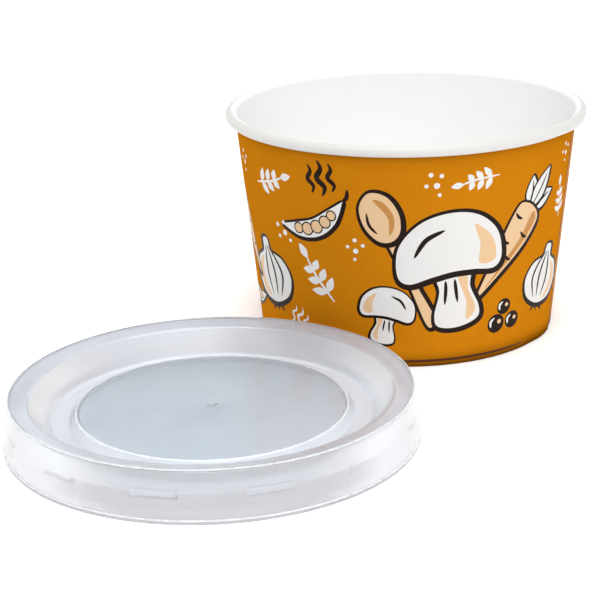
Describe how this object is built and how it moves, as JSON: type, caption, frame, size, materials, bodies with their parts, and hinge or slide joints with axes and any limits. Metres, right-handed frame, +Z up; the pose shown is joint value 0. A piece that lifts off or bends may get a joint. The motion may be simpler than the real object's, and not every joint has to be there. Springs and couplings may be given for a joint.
{
  "type": "takeaway soup container",
  "caption": "Wide, low paper soup cup with a rolled rim, open and empty, with its translucent press-on lid lying beside it.",
  "frame": {"origin": "on the table, in the middle of the floor area that the cup and the lid cover together", "axes": "+Z up; +Y away from the viewer, along the longest side; the cup stands at +X +Y, the lid lies at -X -Y"},
  "size_m": [0.1708, 0.2138, 0.072],
  "materials": {
    "printed_paper": "printed amber outside, white and coated inside and on the rim",
    "white_paper": "white, coated",
    "clear_plastic": "translucent moulded polypropylene, lightly hazed"
  },
  "bodies": {
    "root": {"cup_sidewall": "printed_paper", "cup_bottom": "white_paper", "lid": "clear_plastic"}
  },
  "joints": []
}
